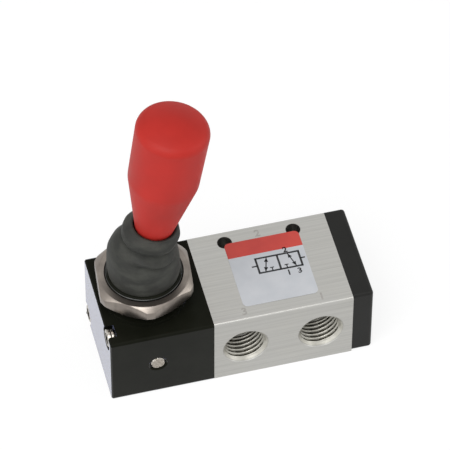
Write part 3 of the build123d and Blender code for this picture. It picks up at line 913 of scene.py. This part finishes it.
def pivot_pin():
    """Grooved pin with bevelled ends."""
    steps = 96
    length = pin_high.y - pin_low.y

    def ring(y, inset, groove):
        out = []
        for angle in full_turn(steps):
            phase = (angle - PIN_GROOVE_TURN) * PIN_GROOVES / (2 * math.pi)
            away = abs((phase + 0.5) % 1 - 0.5)
            radius = PIN_RADIUS - inset - groove * eased(1 - away / PIN_GROOVE_WIDTH)
            out.append(Vector((pivot.x + radius * math.cos(angle), y, pivot.z + radius * math.sin(angle))))
        return out

    # Distance from the pin's end, how far the radius is inset, and depth of the grooves
    stations = (
        (0.0, PIN_BEVEL + 0.55 * MM, 0.25 * MM),
        (0.0, PIN_BEVEL, 0.42 * MM),
        (0.1 * MM, PIN_BEVEL - 0.14 * MM, 0.45 * MM),
        (PIN_BEVEL, 0.03 * MM, 0.48 * MM),
        (PIN_BEVEL + 0.15 * MM, 0.0, 0.45 * MM),
        (PIN_GROOVE_LENGTH, 0.0, 0.0),
    )
    rings = [ring(pin_low.y + along, inset, groove) for along, inset, groove in stations]
    rings += [ring(pin_low.y + length - along, inset, groove) for along, inset, groove in reversed(stations)]
    points, faces = ring_grid(rings, closed=False)
    piece = mesh_piece("grooved_pin", points, faces, PIN_STEEL, "valve")
    bevel_rows = (1, 2, len(rings) - 4, len(rings) - 3)
    paint_faces(piece, SCREW_STEEL, [row * steps + step for row in bevel_rows for step in range(steps)])
    sharpen(piece, 30)
    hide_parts("pivot_pin")


def coil_spring():
    """Return spring, built as one coil at a single length; the spool's cup presses it together as the lever
    is pushed.
    """
    low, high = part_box("return_spring")
    start, end = low.x + SPRING_WIRE_RADIUS, high.x - SPRING_WIRE_RADIUS
    coil_radius = (high.z - low.z) / 2 - SPRING_WIRE_RADIUS
    steps, sides = 48 * SPRING_COILS, 12
    along = Vector((1, 0, 0))
    rings = []
    for step in range(steps + 1):
        turn = 2 * math.pi * SPRING_COILS * step / steps
        outward = Vector((0, math.cos(turn), math.sin(turn)))
        place = Vector((start + (end - start) * step / steps, 0, port_z)) + outward * coil_radius
        rings.append([
            place + SPRING_WIRE_RADIUS * (outward * math.cos(angle) + along * math.sin(angle))
            for angle in full_turn(sides)
        ])
    points, faces = ring_grid(rings, closed=False)
    piece = mesh_piece("coil_spring", points, faces, SPRING_WIRE, "valve")
    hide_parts("return_spring")
    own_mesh(piece)


# Label and stamped marks

def rounded_outline(x_range, y_range, radius, corners=8):
    """Points of a rounded rectangle, anticlockwise."""
    points = []
    centres = (
        (x_range[1] - radius, y_range[0] + radius, -90),
        (x_range[1] - radius, y_range[1] - radius, 0),
        (x_range[0] + radius, y_range[1] - radius, 90),
        (x_range[0] + radius, y_range[0] + radius, 180),
    )
    for x, y, first in centres:
        for step in range(corners + 1):
            angle = math.radians(first + 90 * step / corners)
            points.append((x + radius * math.cos(angle), y + radius * math.sin(angle)))
    return points


def flat_plate(name, outline, z_low, z_high, material):
    """Thin plate of an outline between two heights."""
    count = len(outline)
    points = [(x, y, z_low) for x, y in outline] + [(x, y, z_high) for x, y in outline]
    faces = [tuple(reversed(range(count))), tuple(range(count, 2 * count))]
    for step in range(count):
        other = (step + 1) % count
        faces.append((step, other, count + other, count + step))
    mesh_piece(name, points, faces, material, "valve", smooth=False)


def stroke(points, width, z_low, z_high):
    """Points and faces of one straight bar of ink between two points."""
    (x0, y0), (x1, y1) = points
    along = Vector((x1 - x0, y1 - y0)).normalized()
    side = Vector((-along.y, along.x)) * width / 2
    corners = [
        (x0 + side.x, y0 + side.y), (x0 - side.x, y0 - side.y),
        (x1 - side.x, y1 - side.y), (x1 + side.x, y1 + side.y),
    ]
    verts = [(x, y, z_low) for x, y in corners] + [(x, y, z_high) for x, y in corners]
    faces = [(3, 2, 1, 0), (4, 5, 6, 7), (0, 1, 5, 4), (1, 2, 6, 5), (2, 3, 7, 6), (3, 0, 4, 7)]
    return verts, faces


def join_shapes(name, shapes, material, body):
    """One piece from several lists of points and faces."""
    points, faces = [], []
    for verts, sides in shapes:
        base = len(points)
        points += verts
        faces += [tuple(base + index for index in side) for side in sides]
    mesh_piece(name, points, faces, material, body, smooth=False)


def numeral(name, text, centre, height, z_low, z_high, material):
    """One plain numeral lying on the top face."""
    curve = bpy.data.curves.new(name, "FONT")
    curve.body = text
    curve.size = height * NUMERAL_SCALE
    curve.offset = height * NUMERAL_WEIGHT
    curve.align_x = "CENTER"
    curve.align_y = "CENTER"
    curve.extrude = (z_high - z_low) / 2
    curve.resolution_u = 4
    holder = bpy.data.objects.new(name + "_curve", curve)
    bpy.context.scene.collection.objects.link(holder)
    holder.location = (centre[0], centre[1], (z_low + z_high) / 2)
    bpy.context.view_layer.update()
    mesh = bpy.data.meshes.new_from_object(holder.evaluated_get(bpy.context.evaluated_depsgraph_get()))
    mesh.transform(holder.matrix_world)
    bpy.data.objects.remove(holder)
    mesh.name = name
    piece = bpy.data.objects.new(name, mesh)
    bpy.context.scene.collection.objects.link(piece)
    paint(piece, material)
    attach(piece, "valve")


def arrow(start, end, width, head, z_low, z_high):
    """Shapes of a line with an arrow head at both ends."""
    shapes = [stroke((start, end), width, z_low, z_high)]
    for tail, tip in ((start, end), (end, start)):
        back = (Vector(tail) - Vector(tip)).normalized()
        side = Vector((-back.y, back.x))
        base = Vector(tip) + back * head
        corners = [Vector(tip), base + side * head * ARROW_SPREAD, base - side * head * ARROW_SPREAD]
        verts = [(c.x, c.y, z_low) for c in corners] + [(c.x, c.y, z_high) for c in corners]
        shapes.append((verts, [(2, 1, 0), (3, 4, 5), (0, 1, 4, 3), (1, 2, 5, 4), (2, 0, 3, 5)]))
    return shapes


def valve_symbol(z_low, z_high):
    """Two squares of the valve symbol with their flow paths, stubs and port numbers."""
    left, right = SYMBOL_X
    low, high = SYMBOL_Y
    middle = (left + right) / 2
    level = (low + high) / 2
    box_width = middle - left
    edge = SYMBOL_THICK / 2
    stub_top = low + STUB_HEIGHT
    shapes = []

    def line(start, end, width):
        """Adds one bar of ink."""
        shapes.append(stroke((start, end), width, z_low, z_high))

    for y in (low, high):
        line((left - edge, y), (right + edge, y), SYMBOL_THICK)
    for x in (left, middle, right):
        line((x, low), (x, high), SYMBOL_THICK)
    for base, (open_share, shut_share) in zip((left, middle), FLOW_SHARES):
        head = (base + box_width * 0.5, high - edge)
        foot = (base + box_width * open_share, low + edge)
        shapes += arrow(head, foot, SYMBOL_THIN, ARROW_HEAD, z_low, z_high)
        shut = base + box_width * shut_share
        line((shut, low), (shut, stub_top), SYMBOL_THIN)
        line((shut - STUB_BAR, stub_top), (shut + STUB_BAR, stub_top), SYMBOL_THIN)
    line((left - STUB_LEFT, level), (left, level), STUB_WIDTH)
    line((right, level), (right + STUB_RIGHT, level), STUB_WIDTH)
    join_shapes("valve_symbol", shapes, INK, "valve")
    above, below = high + DIGIT_ABOVE, low - DIGIT_BELOW
    for text, share, y in (("2", 0.44, above), ("1", 0.3, below), ("3", 0.8, below)):
        centre = (middle + box_width * share, y)
        numeral("symbol_" + text, text, centre, DIGIT_SIZE, z_low, z_high, INK)


def label():
    """Label on the top face: pale film, a bare red band at its back edge, and the valve symbol."""
    film_high = top_z + LABEL_THICK
    ink_high = film_high + INK_THICK
    outline = rounded_outline(LABEL_X, LABEL_Y, LABEL_CORNER)
    flat_plate("label_film", outline, top_z, film_high, LABEL_WHITE)
    front_edge = [(x, BAND_Y) for x in LABEL_X]
    band = front_edge + [(x, y) for x, y in outline if y > BAND_Y]
    flat_plate("label_band", band, film_high, ink_high, LABEL_RED)
    valve_symbol(film_high, ink_high)


def stamped_marks():
    """Port numbers stamped in the top face."""
    z_low, z_high = top_z - STAMP_BELOW, top_z + STAMP_ABOVE
    for text, centre in STAMPS:
        numeral("stamp_" + text, text, centre, STAMP_SIZE, z_low, z_high, STAMP)


# Camera, lights and floor

def set_camera():
    """Long lens at the photograph's angle, from a fit to the valve's edges."""
    azimuth = math.radians(-14.50)
    elevation = math.radians(50.30)
    roll = math.radians(0.23)
    target = Vector((10.979, -1.287, 11.597)) * MM
    shift_right, shift_up = 12.013 * MM, -22.537 * MM
    distance = 1161.64 * MM
    focal_pixels, picture_pixels, sensor = 3960.1, 450, 36.0
    back = Vector((
        math.sin(azimuth) * math.cos(elevation),
        -math.cos(azimuth) * math.cos(elevation),
        math.sin(elevation),
    ))
    right = Vector((math.cos(azimuth), math.sin(azimuth), 0))
    up = back.cross(right)
    right_rolled = right * math.cos(roll) + up * math.sin(roll)
    up_rolled = up * math.cos(roll) - right * math.sin(roll)
    place = target - right_rolled * shift_right - up_rolled * shift_up + back * distance
    data = bpy.data.cameras.new("camera")
    data.sensor_width = sensor
    data.lens = focal_pixels / picture_pixels * sensor
    data.clip_start = 0.05
    data.clip_end = 20.0
    camera = bpy.data.objects.new("camera", data)
    bpy.context.scene.collection.objects.link(camera)
    turn = Matrix((right_rolled, up_rolled, back)).transposed()
    camera.matrix_world = Matrix.Translation(place) @ turn.to_4x4()
    bpy.context.scene.camera = camera


def area_light(name, place, side, power):
    """Square soft box that looks at the valve."""
    data = bpy.data.lights.new(name, "AREA")
    data.shape = "RECTANGLE"
    data.size = side
    data.size_y = side
    data.energy = power
    lamp = bpy.data.objects.new(name, data)
    bpy.context.scene.collection.objects.link(lamp)
    lamp.location = place
    lamp.rotation_euler = (Vector(LAMP_AIM) - Vector(place)).to_track_quat("-Z", "Y").to_euler()


def lights():
    """A broad soft box above, a fill from the front left and one from the right."""
    for name, place, side, power in LAMPS:
        area_light(name, place, side, power)


def background_rays(tree):
    """1 for camera, glossy and transmission rays, 0 for the light on the object."""
    path = add_node(tree, "ShaderNodeLightPath")
    total = math_value(tree, "ADD", path.outputs["Is Camera Ray"], path.outputs["Is Glossy Ray"])
    total = math_value(tree, "ADD", total, path.outputs["Is Transmission Ray"])
    return math_value(tree, "MINIMUM", total, 1.0)


def set_world():
    """White surroundings where they are seen or mirrored, plain soft light elsewhere."""
    world = bpy.data.worlds.new("studio")
    bpy.context.scene.world = world
    world.use_nodes = True
    tree = world.node_tree
    tree.nodes.clear()
    soft = add_node(tree, "ShaderNodeBackground", {"Color": grey(1), "Strength": SOFT_LIGHT})
    white = add_node(tree, "ShaderNodeBackground", {"Color": grey(1), "Strength": 1.0})
    mixed = add_node(tree, "ShaderNodeMixShader", {
        0: background_rays(tree), 1: soft.outputs[0], 2: white.outputs[0],
    })
    add_node(tree, "ShaderNodeOutputWorld", {"Surface": mixed.outputs[0]})


def floor():
    """Pale floor that keeps a soft shadow."""
    half = FLOOR_HALF
    corners = [(-half, -half, 0), (half, -half, 0), (half, half, 0), (-half, half, 0)]
    material = bpy.data.materials.new("floor_white")
    material.use_nodes = True
    tree = material.node_tree
    tree.nodes.clear()
    lit = add_node(tree, "ShaderNodeBsdfDiffuse", {"Color": grey(FLOOR_GREY)})
    faint = add_node(tree, "ShaderNodeBsdfDiffuse", {"Color": grey(SHADOW_GREY)})
    plain = add_node(tree, "ShaderNodeEmission", {"Color": grey(1), "Strength": FLOOR_GLOW})
    seen = add_node(tree, "ShaderNodeAddShader", {0: plain.outputs[0], 1: faint.outputs[0]})
    mixed = add_node(tree, "ShaderNodeMixShader", {
        0: background_rays(tree), 1: lit.outputs[0], 2: seen.outputs[0],
    })
    add_node(tree, "ShaderNodeOutputMaterial", {"Surface": mixed.outputs[0]})
    piece = mesh_piece("floor", corners, [(0, 1, 2, 3)], material, None, smooth=False)


bpy.context.scene.view_settings.view_transform = "Standard"
set_camera()
set_world()
lights()
floor()
paint_nodes()
rubber_boot()
panel_nut()
neck_threads()
housing_screws()
pivot_pin()
coil_spring()
port_threads()
label()
stamped_marks()
